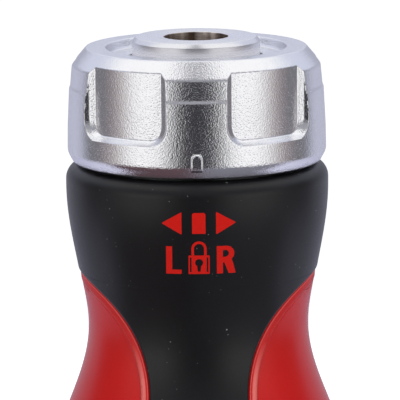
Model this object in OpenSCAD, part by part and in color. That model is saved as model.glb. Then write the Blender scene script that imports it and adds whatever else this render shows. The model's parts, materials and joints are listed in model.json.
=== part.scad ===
// Ratcheting screwdriver: handle, selector ring and hex drive spindle.
// Millimetres. The handle stands on its end cap. The origin is the middle of the cap's flat foot,
// +Z runs up the drive axis, and the index mark and the printed front face -Y.

/* [Overall] */
// Height from the foot to the top of the drive boss
total_length = 115; // [110:1:130]

/* [Handle] */
// Diameter of the collar under the selector ring
collar_d = 32; // [31:0.5:34]
// Radius of the collar's top edge
collar_round = 1.9; // [1:0.1:2.2]
// Depth of the collar's widest place below its top
collar_drop = 2.6; // [2.3:0.1:4]
// Diameter of the finger waist
waist_d = 27.8; // [26.5:0.1:29]
// Depth of the waist below the selector ring
waist_drop = 20.3; // [17:0.1:23]
// Diameter of the palm swell
palm_d = 37.6; // [34:0.1:40]
// Depth of the palm swell below the waist
palm_drop = 19.5; // [16:0.1:26]
// Step from the collar's diameter to that of the grip's foot at the end cap
base_step = 0; // [-3:0.5:3]
// Wall of the hollow in the lower half of the core
core_wall = 4; // [3:0.1:5]
// Height of the core's solid middle
core_plug = 18; // [12:1:24]

/* [Soft grip] */
// Thickness of the soft grip
grip_wall = 1.8; // [1.4:0.1:2.2]
// Width of the black strips between the side windows
strip_w = 12; // [9:0.5:15]
// Radius of the ends of the side windows
window_round = 14.2; // [12:0.1:16]
// Depth of the upper end's centre below the selector ring
window_drop = 26.5; // [24:0.1:30]
// Height of the lower end's centre above the foot
window_rise = 27; // [25:0.5:34]
// Width of the rim round each red panel
rim_w = 1; // [0.6:0.1:1.6]
// Depth of the rim below the grip's surface
rim_sink = 0.1; // [0.05:0.05:0.2]
// Depth of the red panel below the grip's surface
panel_sink = 0.4; // [0.25:0.05:0.8]

/* [End cap] */
// Height of the end cap's rim
cap_h = 7; // [6:0.5:10]
// Radius of the end cap's lower edge
cap_round = 5; // [3:0.5:6]
// Length of the plug inside the core
cap_plug = 9; // [6:0.5:12]
// Wall of the plug
cap_wall = 2; // [1.5:0.1:3]

/* [Selector ring] */
// Height of the ring
ring_h = 13.8; // [13.6:0.1:15]
// Gap between the ring and the collar
ring_gap = 0.3; // [0.2:0.05:0.6]
// Inset of the ring's widest place from the collar
ring_inset = 0.25; // [0.1:0.05:0.5]
// Inset of the flat top from the ring's widest place
top_inset = 2.35; // [1.8:0.05:2.7]
// Inset of the sloped shoulder's foot from the ring's widest place
shoulder_inset = 0.65; // [0.55:0.05:1]
// Height of the sloped shoulder
shoulder_h = 2; // [1.4:0.1:2.4]
// Inset of the fine step from the ring's widest place
step_inset = 0.275; // [0.2:0.025:0.425]
// Depth of the fine step below the top
step_drop = 4.75; // [3.5:0.05:6]
// Height of the fine step
step_h = 0.3; // [0.1:0.05:0.4]
// Width of the fine step
step_out = 0.14; // [0.08:0.02:0.2]
// Inset of the wall's bulge from the ring's widest place
bulge_inset = 0.07; // [0.02:0.01:0.12]
// Height of the wall's bulge above the ring's foot
bulge_rise = 5.2; // [4:0.1:6]
// Height of the foot chamfer
foot_h = 1.2; // [0.8:0.1:2]
// Inset of the foot from the ring's widest place
foot_inset = 0.85; // [0.55:0.05:1.4]
// Diameter of the dish in the top
dish_d = 22; // [21.4:0.1:23]
// Diameter of the dish's floor
dish_floor_d = 21; // [19:0.1:21.2]
// Depth of the dish
dish_depth = 1.1; // [0.8:0.1:1.3]
// Diameter of the bore over the ratchet housing
ring_bore_d = 25; // [24.8:0.05:25.4]
// Thickness of the shelf under the boss
shelf_t = 2.6; // [2.3:0.1:3]
// Number of finger pockets
pocket_count = 5; // [4:1:6]
// Angle across a pocket
pocket_angle = 45.7; // [36:0.1:50]
// Depth of a pocket
pocket_depth = 0.98; // [0.6:0.01:1]
// Width of a pocket's sloped side
pocket_side = 1; // [0.5:0.05:1.2]
// Height of a pocket's sloped foot
pocket_slope = 0.4; // [0.2:0.05:0.8]
// Height of a pocket's lower edge above the ring's foot
pocket_rise = 3.9; // [3.2:0.1:5]
// Corner radius of a pocket's foot
pocket_corner = 2.4; // [1.6:0.1:3]
// Width of the index mark
mark_w = 1.35; // [1:0.05:2]
// Height of the index mark's foot above the ring's foot
mark_rise = 1; // [0.8:0.1:1.2]
// Height of the index mark's round top above the ring's foot
mark_h = 3.1; // [2.6:0.1:3.4]
// Height of the index mark over the ring's surface
mark_proud = 0.2; // [0.1:0.05:0.25]
// Turn of the ring from the middle to either side, in degrees
throw_angle = 12; // [10:0.5:13]

/* [Drive spindle] */
// Diameter of the boss
boss_d = 15.6; // [15:0.1:17]
// Height of the boss
boss_h = 3; // [2.6:0.1:3.2]
// Height of the boss above the ring
boss_proud = 1.2; // [0.8:0.1:1.5]
// Chamfer round the boss
boss_chamfer = 0.5; // [0.2:0.1:0.8]
// Width across the flats of the hex socket
hex_af = 6.4; // [6.36:0.01:6.5]
// Depth of the hex socket
socket_depth = 15; // [13:0.5:15.5]
// Diameter of the socket's round mouth
mouth_d = 7.8; // [7.5:0.1:8.2]
// Depth of the mouth above its cone
mouth_h = 1.3; // [0.8:0.1:2]
// Chamfer round the mouth
mouth_edge = 0.08; // [0.04:0.02:0.3]
// Diameter of the upper journal and of the gear
journal_d = 12; // [11.6:0.1:12.4]
// Number of gear teeth, even so that both pawls fall in a gap
gear_teeth = 24; // [20:2:28]
// Depth of a gear tooth
tooth_depth = 0.75; // [0.6:0.01:0.8]
// Width of a tooth's tip and of a gap's floor
tooth_flat = 0.35; // [0.25:0.01:0.45]
// Diameter of the lower journal
tail_d = 10; // [9.6:0.1:10.4]
// Length of the spindle below the retaining clip
tail_end = 1.2; // [0.8:0.1:2]

/* [Ratchet] */
// Thickness of the pawl cover
cover_t = 1.2; // [1:0.1:1.4]
// Thickness of the pawls
pawl_t = 4; // [3.4:0.1:4.2]
// Sideways offset of a pawl's pin from the gear's edge
pin_out = 2.2; // [1.9:0.1:2.4]
// Offset of a pawl's pin from its first tooth along the gear's edge
pin_along = 6.5; // [6.3:0.1:6.8]
// Diameter of the pawl pins
pin_d = 1.8; // [1.6:0.1:2]
// Radius of a pawl round its pin
hub_r = 1.9; // [1.7:0.1:2]
// Diameter of the follower peg on a pawl
peg_d = 1.6; // [1.4:0.1:1.8]
// Turn of a pawl for each degree of the selector ring
pawl_ratio = 0.3; // [0.29:0.01:0.33]
// Clearance between the teeth of a pawl and of the gear
tooth_gap = 0.07; // [0.05:0.01:0.1]
// Distance of the cover screws from the axis
screw_reach = 9.4; // [9.2:0.1:9.8]
// Diameter of the cover screws
screw_d = 2; // [1.8:0.1:2.2]
// Length of the cover screws
screw_l = 5; // [4:0.1:5.2]
// Outer diameter of the pawl springs
spring_d = 1.7; // [1.5:0.1:1.8]
// Diameter of the spring wire
wire_d = 0.3; // [0.2:0.02:0.34]
// Number of turns in a spring
spring_turns = 4; // [3:1:5]

/* [Detent] */
// Diameter of the detent ball
ball_d = 2.5; // [2.2:0.1:2.6]
// Height of the ball above the housing's surface
ball_proud = 0.56; // [0.4:0.02:0.6]
// Height of the detent above the ring's foot
detent_rise = 2.2; // [2:0.1:2.4]
// Extra depth of the three detent pockets
detent_step = 0.14; // [0.1:0.02:0.2]

/* [Housing and bearings] */
// Diameter of the housing's shank in the core
shank_d = 19; // [18:0.2:19.6]
// Length of the housing's shank
shank_l = 15.7; // [14:0.1:18]
// Number of keys on the shank
key_count = 4; // [3:1:6]
// Width of a key
key_w = 2.4; // [1.8:0.1:3]
// Height of a key
key_h = 0.9; // [0.5:0.1:1.1]
// Wall of the spindle bush
bush_wall = 2; // [1.6:0.1:2.2]
// Length of the spindle bush
bush_l = 6.8; // [5.5:0.1:7.5]
// Thickness of the two washers
washer_t = 0.5; // [0.4:0.05:0.7]
// Thickness of the retaining clip
clip_t = 0.8; // [0.6:0.05:1]
// Depth of the retaining clip's groove
clip_depth = 0.8; // [0.5:0.05:0.9]
// Width of the retaining clip beyond the lower journal
clip_out = 1.2; // [0.8:0.1:1.5]
// Diameter of the bit magnet
magnet_d = 5.6; // [5:0.1:6]
// Height of the bit magnet
magnet_h = 3; // [2:0.1:3.5]
// Wire diameter of the bit retaining ring
bit_ring_d = 0.8; // [0.6:0.05:0.9]
// Height of the bit retaining ring above the socket's floor
bit_ring_rise = 5.5; // [4:0.1:7]

/* [Fits] */
// Radial clearance of turning fits
run_gap = 0.06; // [0.04:0.01:0.09]
// Axial clearance between turning faces
end_gap = 0.2; // [0.15:0.05:0.25]
// Clearance between fixed parts
seat_gap = 0.03; // [0.02:0.01:0.05]
// Open clearance round moving parts
free_gap = 0.3; // [0.25:0.05:0.35]

/* [Hidden] */
$fn = 96;
eps = 0.01;
ring_top_z = total_length - boss_proud;
ring_z = ring_top_z - ring_h;
collar_z = ring_z - ring_gap;
waist_z = ring_z - waist_drop;
palm_z = waist_z - palm_drop;
window_top_z = ring_z - window_drop;
window_x = strip_w / 2 + window_round;
boss_z = total_length - boss_h;
shelf_top_z = boss_z - end_gap;
shelf_z = shelf_top_z - shelf_t;
cover_top_z = shelf_z - end_gap;
head_z = cover_top_z - cover_t;
pocket_floor_z = head_z - pawl_t - 2 * end_gap;
gear_top_z = head_z - end_gap;
gear_z = pocket_floor_z - 2 * end_gap;
washer_top_z = gear_z - end_gap / 2;
bush_top_z = washer_top_z - washer_t;
bush_z = bush_top_z - bush_l;
rear_z = bush_z - washer_t;
clip_top_z = rear_z - end_gap / 2;
clip_z = clip_top_z - clip_t;
tail_z = clip_z - tail_end;
shank_z = collar_z - shank_l;
socket_z = total_length - socket_depth;
bit_ring_z = socket_z + bit_ring_rise;
base_d = collar_d + base_step;
ring_d = collar_d - 2 * ring_inset;
ring_top_d = ring_d - 2 * top_inset;
shoulder_d = ring_d - 2 * shoulder_inset;
step_d = ring_d - 2 * step_inset;
foot_d = ring_d - 2 * foot_inset;
ring_bore_r = ring_bore_d / 2;
head_r = ring_bore_r - run_gap;
journal_r = journal_d / 2;
throat_r = journal_r + free_gap;
tail_r = tail_d / 2;
bush_r = tail_r + run_gap + bush_wall;
hex_r = hex_af / 2 / cos(30);
mouth_cone = (mouth_d - hex_af) / 2;
tip_r = journal_r - 0.05;
root_r = journal_r - tooth_depth;
pin_x = journal_r + pin_out;
pin_r = pin_d / 2;
rock = throw_angle * pawl_ratio;
peg_x = journal_r + 2;
peg_y = -1;
peg_r = peg_d / 2;
peg_top_z = shelf_z + 1.3;
cam_z = shelf_z + 1.5;
spring_y = -3.2;
spring_in = journal_r + 2.8;
spring_out = head_r - 1.35;
spring_mid_z = (pocket_floor_z + head_z) / 2;
ball_r = ball_d / 2;
ball_at = head_r + ball_proud - ball_r;
detent_z = ring_z + detent_rise;
detent_in = bush_r + 0.9;
pocket_step = 360 / pocket_count;
front = -90;
spans = 10;

// Smooth blend from a to b, flat at both ends
function ease(a, b, t) = a + (b - a) * (1 - cos(180 * t)) / 2;

// Point at a radius and an angle
function polar(r, a) = [r * cos(a), r * sin(a)];

// Point turned about a centre
function turned(p, c, a) = [
    c[0] + (p[0] - c[0]) * cos(a) - (p[1] - c[1]) * sin(a),
    c[1] + (p[0] - c[0]) * sin(a) + (p[1] - c[1]) * cos(a)
];

// One stretch of the handle's outline between two stations, inset by a depth
function stretch(za, ra, zb, rb, inset) = [
    for (i = [0 : spans]) [ease(ra, rb, i / spans) - inset, za + (zb - za) * i / spans]
];

// Outline of the grip from the end cap up to the collar's top, inset by a depth
function grip_line(inset) = concat(
    stretch(cap_h, base_d / 2, palm_z, palm_d / 2, inset),
    [for (p = stretch(palm_z, palm_d / 2, waist_z, waist_d / 2, inset)) if (p[1] > palm_z + eps) p],
    [for (p = stretch(waist_z, waist_d / 2, collar_z - collar_drop, collar_d / 2, inset))
        if (p[1] > waist_z + eps) p],
    [for (a = [0 : 15 : 90])
        [
            collar_d / 2 - inset - collar_round * (1 - cos(a)),
            collar_z - collar_round * (1 - sin(a))
        ]]
);

// Solid of the grip's outline, inset by a depth
module grip_solid(inset) {
    rotate_extrude()
        polygon(concat([[0, collar_z], [0, cap_h]], grip_line(inset)));
}

// Both side windows as prisms through the handle, made smaller by an inset
module windows(inset) {
    for (side = [-1, 1])
        rotate([90, 0, 0])
            linear_extrude(height = palm_d + 20, center = true)
                union() {
                    translate([side * window_x, window_top_z])
                        circle(r = window_round - inset);
                    translate([side * window_x, window_rise])
                        circle(r = window_round - inset);
                    translate([side * window_x, (window_top_z + window_rise) / 2])
                        square([2 * (window_round - inset), window_top_z - window_rise], center = true);
                }
}

// Shank of the housing with its keys, grown by a clearance
module shank(gap, top) {
    translate([0, 0, shank_z])
        cylinder(r = shank_d / 2 + gap, h = top - shank_z);
    for (i = [0 : key_count - 1])
        rotate(360 * i / key_count)
            translate([0, -key_w / 2 - gap, shank_z])
                cube([shank_d / 2 + key_h + gap, key_w + 2 * gap, top - shank_z]);
}

// Gear outline with gaps centred on the pawls, grown by a clearance
module gear_outline(gap) {
    pitch = 360 / gear_teeth;
    gap_a = (tooth_flat / 2 - 0.6 * gap) / root_r * 180 / PI;
    tip_a = (tooth_flat / 2 + 0.6 * gap) / tip_r * 180 / PI;
    polygon([
        for (i = [0 : gear_teeth - 1])
            for (p = [
                [root_r, -gap_a],
                [root_r, gap_a],
                [tip_r, pitch / 2 - tip_a],
                [tip_r, pitch / 2 + tip_a]
            ])
                polar(p[0] + gap, pitch * i + p[1])
    ]);
}

// Outline of the right pawl at full depth in the gear, without its teeth
module pawl_outline() {
    translate([pin_x, pin_along])
        circle(r = hub_r);
    polygon([
        [journal_r - 0.8, 0.75],
        [journal_r + 0.9, 2.2],
        [pin_x - hub_r + 0.1, pin_along - 0.6],
        [pin_x + hub_r - 0.1, pin_along - 0.6],
        [journal_r + 3.2, -2],
        [journal_r + 2.8, -4.2],
        [journal_r + 0.7, -4.2],
        [journal_r - 1, -2.4]
    ]);
}

// Children turned about the right pawl's pin
module about_pin(a) {
    translate([pin_x, pin_along, 0])
        rotate(a)
            translate([-pin_x, -pin_along, 0])
                children();
}

// Right pawl as it stands with the selector in the middle
module pawl_solid() {
    difference() {
        about_pin(rock)
            union() {
                translate([0, 0, pocket_floor_z + end_gap])
                    linear_extrude(height = pawl_t)
                        difference() {
                            pawl_outline();
                            gear_outline(tooth_gap);
                        }
                translate([peg_x, peg_y, head_z - end_gap - 0.5])
                    cylinder(r = peg_r, h = peg_top_z - head_z + end_gap + 0.5, $fn = 48);
            }
        translate([pin_x, pin_along, pocket_floor_z])
            cylinder(r = pin_r + run_gap, h = pawl_t + 1, $fn = 48);
        translate([spring_in, spring_y, spring_mid_z])
            rotate([0, 90, 0])
                cylinder(d = spring_d + 0.2, h = 4, $fn = 48);
    }
}

// Coil along +Z, swept with a six-sided wire
module coil(outer_d, length) {
    n = 8 * spring_turns;
    w = wire_d / 2;
    r = outer_d / 2 - w;
    pts = [
        for (i = [0 : n])
            for (k = [0 : 5])
                [
                    (r + w * cos(60 * k)) * cos(45 * i),
                    (r + w * cos(60 * k)) * sin(45 * i),
                    w + (length - 2 * w) * i / n + w * sin(60 * k)
                ]
    ];
    sides = [
        for (i = [0 : n - 1])
            for (k = [0 : 5])
                let (a = 6 * i + k, b = 6 * i + (k + 1) % 6)
                    for (half = [[a, b, b + 6], [a, b + 6, a + 6]])
                        half
    ];
    polyhedron(
        points = pts,
        faces = concat([[5, 4, 3, 2, 1, 0]], sides, [[for (k = [0 : 5]) 6 * n + k]]),
        convexity = 8
    );
}

// Right pawl spring between the pawl and the housing
module pawl_spring() {
    translate([spring_in + 0.05, spring_y, spring_mid_z])
        rotate([0, 90, 0])
            coil(spring_d, spring_out - spring_in - 0.1);
}

// Right pawl pin from the housing to the cover
module pawl_pin() {
    translate([pin_x, pin_along, pocket_floor_z - 2])
        cylinder(r = pin_r, h = cover_top_z - pocket_floor_z + 1.9, $fn = 48);
}

// Slot under the ring's shelf that the right pawl's peg follows
module cam_slot() {
    c = [pin_x, pin_along];
    n = 12;
    clear = peg_r + 0.1;
    outer = peg_x + 2.6;
    // Peg centre in the ring when the ring stands at an angle
    path = [
        for (i = [0 : n])
            let (s = throw_angle * (2 * i / n - 1) * 1.05)
            turned(turned([peg_x, peg_y], c, rock - pawl_ratio * s), [0, 0], -s)
    ];
    // Same path as radius and angle
    rim = [for (p = path) [norm(p), atan2(p[1], p[0])]];
    side = clear / peg_x * 180 / PI;
    first = rim[0][1] + side;
    last = rim[n][1] - side;
    translate([0, 0, shelf_z - 1])
        linear_extrude(height = cam_z - shelf_z + 1)
            polygon(concat(
                [polar(rim[0][0] - clear, first)],
                [for (p = rim) polar(p[0] - clear, p[1])],
                [polar(rim[n][0] - clear, last)],
                [for (i = [0 : n]) polar(outer, last + (first - last) * i / n)]
            ));
}

// Cutter for one finger pocket, facing +X
module pocket_cutter() {
    r_out = (shoulder_d + ring_d) / 4 + 0.1;
    r_in = r_out - pocket_depth;
    a_out = pocket_angle / 2;
    a_in = a_out - pocket_side / r_in * 180 / PI;
    flare = (r_out * sin(a_out) - r_in * sin(a_in)) / (r_out * cos(a_out) - r_in * cos(a_in));
    x_in = r_in * cos(a_in) - 0.6;
    x_out = ring_d / 2 + 0.6;
    w_in = r_in * sin(a_in) - 0.6 * flare;
    w_out = r_out * sin(a_out) + (x_out - r_out * cos(a_out)) * flare;
    z_foot = ring_z + pocket_rise;
    z_in = z_foot + (r_out - x_in) * pocket_slope / pocket_depth;
    z_out = z_foot - (x_out - r_out) * pocket_slope / pocket_depth;
    difference() {
        hull() {
            for (side = [-1, 1]) {
                translate([x_in, side * (w_in - pocket_corner * 0.7), z_in + pocket_corner * 0.7])
                    rotate([0, 90, 0])
                        cylinder(r = pocket_corner * 0.7, h = eps, $fn = 32);
                translate([x_out, side * (w_out - pocket_corner * 1.6), z_out + pocket_corner * 1.6])
                    rotate([0, 90, 0])
                        cylinder(r = pocket_corner * 1.6, h = eps, $fn = 32);
            }
            translate([x_in, -w_in, ring_top_z + 1])
                cube([eps, 2 * w_in, eps]);
            translate([x_out, -w_out, ring_top_z + 1])
                cube([eps, 2 * w_out, eps]);
        }
        translate([0, 0, ring_z - 1])
            cylinder(r = r_in, h = ring_h + 4);
    }
}

module handle_core() {
    color([0.72, 0.09, 0.08])
        difference() {
            union() {
                grip_solid(grip_wall);
                intersection() {
                    grip_solid(panel_sink);
                    windows(0);
                }
                intersection() {
                    grip_solid(rim_sink);
                    difference() {
                        windows(0);
                        windows(rim_w);
                    }
                }
            }
            shank(seat_gap, collar_z + 1);
            translate([0, 0, cap_h - 1])
                cylinder(r = base_d / 2 - grip_wall - core_wall, h = waist_z - core_plug - cap_h + 1);
        }
}

module soft_grip() {
    color([0.13, 0.13, 0.14])
        difference() {
            grip_solid(0);
            grip_solid(grip_wall);
            windows(0);
        }
}

module end_cap() {
    r = base_d / 2 - rim_sink;
    plug_r = base_d / 2 - grip_wall - core_wall - seat_gap;
    color([0.72, 0.09, 0.08])
        rotate_extrude()
            polygon(concat(
                [[0, 0]],
                [for (a = [-90 : 15 : 0]) [r - cap_round * (1 - cos(a)), cap_round * (1 + sin(a))]],
                [
                    [r, cap_h],
                    [plug_r, cap_h],
                    [plug_r, cap_h + cap_plug],
                    [plug_r - cap_wall, cap_h + cap_plug],
                    [plug_r - cap_wall, cap_wall + 1],
                    [0, cap_wall + 1]
                ]
            ));
}

module ratchet_housing() {
    color([0.55, 0.56, 0.58])
        difference() {
            union() {
                translate([0, 0, collar_z])
                    cylinder(r = head_r, h = head_z - collar_z);
                shank(0, collar_z + eps);
            }
            translate([0, 0, shank_z - 1])
                cylinder(r = bush_r, h = washer_top_z - shank_z + 1);
            translate([0, 0, shank_z])
                cylinder(r = throat_r, h = head_z - shank_z + 1);
            for (side = [0, 1])
                mirror([side, 0, 0]) {
                    translate([0, 0, pocket_floor_z])
                        linear_extrude(height = pawl_t + 2)
                            offset(r = free_gap, $fn = 24)
                                for (k = [0 : 2])
                                    about_pin(k * rock)
                                        pawl_outline();
                    translate([pin_x, pin_along, pocket_floor_z - 2])
                        cylinder(r = pin_r + seat_gap, h = 3, $fn = 48);
                    translate([spring_in, spring_y, spring_mid_z])
                        rotate([0, 90, 0])
                            cylinder(d = spring_d + 0.2, h = spring_out - spring_in, $fn = 48);
                }
            for (side = [-1, 1])
                translate([0, side * screw_reach, cover_top_z - screw_l - 0.1])
                    cylinder(d = screw_d + 2 * seat_gap, h = screw_l + 1, $fn = 48);
            translate([0, detent_in, detent_z])
                rotate([-90, 0, 0])
                    cylinder(r = ball_r + run_gap, h = head_r, $fn = 48);
        }
}

module pawl_cover() {
    hole_d = screw_d + 2 * seat_gap;
    color([0.62, 0.63, 0.65])
        difference() {
            translate([0, 0, head_z])
                cylinder(r = head_r - free_gap, h = cover_t);
            translate([0, 0, head_z - 1])
                cylinder(r = journal_r + run_gap, h = cover_t + 2);
            for (side = [0, 1])
                mirror([side, 0, 0]) {
                    translate([pin_x, pin_along, head_z - 1])
                        cylinder(r = pin_r + seat_gap, h = cover_t + 2, $fn = 48);
                    translate([peg_x - peg_r - free_gap, peg_y - peg_r - free_gap, head_z - 1])
                        cube([peg_d + 2 * free_gap + 1.3, peg_d + 2 * free_gap, cover_t + 2]);
                }
            for (side = [-1, 1])
                translate([0, side * screw_reach, head_z]) {
                    translate([0, 0, -1])
                        cylinder(d = hole_d, h = cover_t + 2, $fn = 48);
                    translate([0, 0, 0.2])
                        cylinder(d1 = hole_d, d2 = hole_d + 2 * cover_t, h = cover_t, $fn = 48);
                }
        }
}

module cover_screws() {
    head = cover_t - 0.25;
    color([0.35, 0.35, 0.37])
        for (side = [-1, 1])
            translate([0, side * screw_reach, cover_top_z])
                difference() {
                    union() {
                        translate([0, 0, -screw_l])
                            cylinder(d = screw_d, h = screw_l - eps, $fn = 48);
                        translate([0, 0, -head])
                            cylinder(d1 = screw_d, d2 = screw_d + 2 * head, h = head, $fn = 48);
                    }
                    for (a = [0, 90])
                        rotate(a)
                            translate([-screw_d / 2, -0.2, -0.5])
                                cube([screw_d, 0.4, 1]);
                }
}

module pawl_pin_left() {
    color([0.7, 0.7, 0.72])
        mirror([1, 0, 0])
            pawl_pin();
}

module pawl_pin_right() {
    color([0.7, 0.7, 0.72])
        pawl_pin();
}

module pawl_left() {
    color([0.42, 0.43, 0.46])
        mirror([1, 0, 0])
            pawl_solid();
}

module pawl_right() {
    color([0.42, 0.43, 0.46])
        pawl_solid();
}

module pawl_spring_left() {
    color([0.6, 0.6, 0.62])
        mirror([1, 0, 0])
            pawl_spring();
}

module pawl_spring_right() {
    color([0.6, 0.6, 0.62])
        pawl_spring();
}

module spindle_bush() {
    color([0.72, 0.53, 0.28])
        translate([0, 0, bush_z])
            difference() {
                cylinder(r = bush_r - seat_gap, h = bush_l);
                translate([0, 0, -1])
                    cylinder(r = tail_r + run_gap, h = bush_l + 2);
            }
}

module washer() {
    difference() {
        cylinder(r = bush_r - 0.2, h = washer_t);
        translate([0, 0, -1])
            cylinder(r = tail_r + 0.1, h = washer_t + 2);
    }
}

module thrust_washer() {
    color([0.75, 0.75, 0.77])
        translate([0, 0, bush_top_z])
            washer();
}

module rear_washer() {
    color([0.75, 0.75, 0.77])
        translate([0, 0, rear_z])
            washer();
}

module drive_spindle() {
    boss_r = boss_d / 2;
    color([0.78, 0.78, 0.79])
        difference() {
            union() {
                rotate_extrude()
                    polygon([
                        [0, tail_z],
                        [tail_r - 0.4, tail_z],
                        [tail_r, tail_z + 0.4],
                        [tail_r, clip_z],
                        [tail_r - clip_depth, clip_z],
                        [tail_r - clip_depth, clip_top_z],
                        [tail_r, clip_top_z],
                        [tail_r, gear_top_z],
                        [journal_r, gear_top_z],
                        [journal_r, boss_z],
                        [boss_r, boss_z],
                        [boss_r, total_length - boss_chamfer],
                        [boss_r - boss_chamfer, total_length],
                        [0, total_length]
                    ]);
                translate([0, 0, gear_z])
                    linear_extrude(height = gear_top_z - gear_z + eps)
                        gear_outline(0);
            }
            translate([0, 0, socket_z])
                rotate(30)
                    cylinder(r = hex_r, h = socket_depth + 1, $fn = 6);
            rotate_extrude()
                polygon([
                    [0, total_length - mouth_h - mouth_cone],
                    [hex_af / 2, total_length - mouth_h - mouth_cone],
                    [mouth_d / 2, total_length - mouth_h],
                    [mouth_d / 2, total_length - mouth_edge],
                    [mouth_d / 2 + mouth_edge + 1, total_length + 1],
                    [0, total_length + 1]
                ]);
            translate([0, 0, socket_z - magnet_h])
                cylinder(d = magnet_d + 2 * seat_gap, h = magnet_h + eps);
            translate([0, 0, bit_ring_z])
                rotate_extrude()
                    translate([0, -bit_ring_d / 2 - 0.05])
                        square([hex_r + bit_ring_d / 2 + 0.1, bit_ring_d + 0.1]);
        }
}

module retaining_clip() {
    color([0.3, 0.3, 0.32])
        translate([0, 0, clip_z])
            linear_extrude(height = clip_t)
                difference() {
                    circle(r = tail_r + clip_out);
                    circle(r = tail_r - clip_depth + seat_gap);
                    translate([0, -1.5])
                        square([2 * tail_r, 3]);
                }
}

module bit_magnet() {
    color([0.5, 0.5, 0.52])
        translate([0, 0, socket_z - magnet_h])
            cylinder(d = magnet_d, h = magnet_h);
}

module bit_retaining_ring() {
    color([0.65, 0.65, 0.67])
        translate([0, 0, bit_ring_z])
            rotate(120)
                rotate_extrude(angle = 300)
                    translate([hex_r + 0.05, 0])
                        circle(d = bit_ring_d, $fn = 24);
}

// Raised index mark at the front of the ring's foot
module index_mark() {
    intersection() {
        translate([0, -ring_d / 2 + 0.6, ring_z])
            rotate([90, 0, 0])
                linear_extrude(height = 2)
                    union() {
                        translate([-mark_w / 2, mark_rise])
                            square([mark_w, mark_h - mark_w / 2 - mark_rise]);
                        translate([0, mark_h - mark_w / 2])
                            circle(d = mark_w, $fn = 48);
                    }
        translate([0, 0, ring_z])
            cylinder(r = ring_d / 2 + mark_proud, h = ring_h);
    }
}

module selector_ring() {
    color([0.8, 0.8, 0.82])
        difference() {
            union() {
                rotate_extrude()
                    polygon([
                        [boss_d / 2 + end_gap, shelf_top_z],
                        [boss_d / 2 + end_gap, ring_top_z - dish_depth],
                        [dish_floor_d / 2, ring_top_z - dish_depth],
                        [dish_d / 2, ring_top_z],
                        [ring_top_d / 2, ring_top_z],
                        [shoulder_d / 2, ring_top_z - shoulder_h],
                        [step_d / 2 - step_out, ring_top_z - step_drop + step_h],
                        [step_d / 2, ring_top_z - step_drop],
                        [ring_d / 2 - bulge_inset, ring_z + bulge_rise],
                        [ring_d / 2, ring_z + foot_h],
                        [foot_d / 2, ring_z],
                        [ring_bore_r, ring_z],
                        [ring_bore_r, shelf_z],
                        [throat_r, shelf_z],
                        [throat_r, shelf_top_z]
                    ]);
                index_mark();
            }
            for (i = [0 : pocket_count - 1])
                rotate(front + pocket_step * (i + 0.5))
                    pocket_cutter();
            cam_slot();
            mirror([1, 0, 0])
                cam_slot();
            translate([0, 0, detent_z])
                rotate(-front - throw_angle - 8)
                    rotate_extrude(angle = 2 * throw_angle + 16)
                        translate([ball_at, 0])
                            circle(r = ball_r + run_gap, $fn = 48);
            for (i = [-1 : 1])
                translate([0, 0, detent_z])
                    rotate(-front + i * throw_angle)
                        translate([ball_at + detent_step, 0, 0])
                            sphere(r = ball_r + run_gap, $fn = 48);
        }
}

module detent_ball() {
    color([0.8, 0.8, 0.82])
        translate([0, ball_at, detent_z])
            sphere(r = ball_r, $fn = 48);
}

module detent_spring() {
    mean_r = (spring_d - wire_d) / 2;
    reach = sqrt(pow(ball_r + wire_d / 2, 2) - mean_r * mean_r) - wire_d / 2;
    color([0.6, 0.6, 0.62])
        translate([0, detent_in + 0.02, detent_z])
            rotate([-90, 0, 0])
                coil(spring_d, ball_at - reach - detent_in - 0.05);
}

handle_core();
soft_grip();
end_cap();
ratchet_housing();
pawl_cover();
cover_screws();
pawl_pin_left();
pawl_pin_right();
pawl_left();
pawl_right();
pawl_spring_left();
pawl_spring_right();
spindle_bush();
thrust_washer();
rear_washer();
drive_spindle();
retaining_clip();
bit_magnet();
bit_retaining_ring();
selector_ring();
detent_ball();
detent_spring();
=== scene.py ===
"""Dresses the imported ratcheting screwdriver: visible pieces, printed marks, materials, light and camera.

Sizes are in millimetres and angles in degrees. Meshes are scaled to metres as they are made.
"""

import json
import math

import bmesh
import bpy
import numpy as np
from mathutils import Matrix, Vector


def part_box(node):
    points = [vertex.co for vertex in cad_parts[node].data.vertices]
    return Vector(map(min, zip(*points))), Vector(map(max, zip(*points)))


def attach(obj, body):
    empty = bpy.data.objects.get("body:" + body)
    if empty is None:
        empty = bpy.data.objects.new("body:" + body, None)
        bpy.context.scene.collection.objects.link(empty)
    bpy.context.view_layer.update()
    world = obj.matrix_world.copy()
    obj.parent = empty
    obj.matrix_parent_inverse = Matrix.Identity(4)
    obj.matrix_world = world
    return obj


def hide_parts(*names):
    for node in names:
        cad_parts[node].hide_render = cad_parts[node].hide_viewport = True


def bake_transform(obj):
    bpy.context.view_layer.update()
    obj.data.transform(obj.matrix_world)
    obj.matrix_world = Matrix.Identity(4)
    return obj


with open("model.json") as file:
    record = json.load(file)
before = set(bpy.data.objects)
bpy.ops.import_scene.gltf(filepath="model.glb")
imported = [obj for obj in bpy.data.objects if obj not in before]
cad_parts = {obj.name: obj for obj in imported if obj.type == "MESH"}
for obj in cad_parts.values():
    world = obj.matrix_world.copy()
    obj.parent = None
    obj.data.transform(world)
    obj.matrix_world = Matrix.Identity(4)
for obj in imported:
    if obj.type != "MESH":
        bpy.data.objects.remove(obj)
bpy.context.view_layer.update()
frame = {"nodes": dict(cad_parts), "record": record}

MM = 0.001
FRONT = -90.0  # direction of the printed front, seen from above
BACK = 90.0


def span(node):
    """Lowest and highest corner of a CAD node, in millimetres."""
    low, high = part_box(node)
    return np.array(low) / MM, np.array(high) / MM


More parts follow.
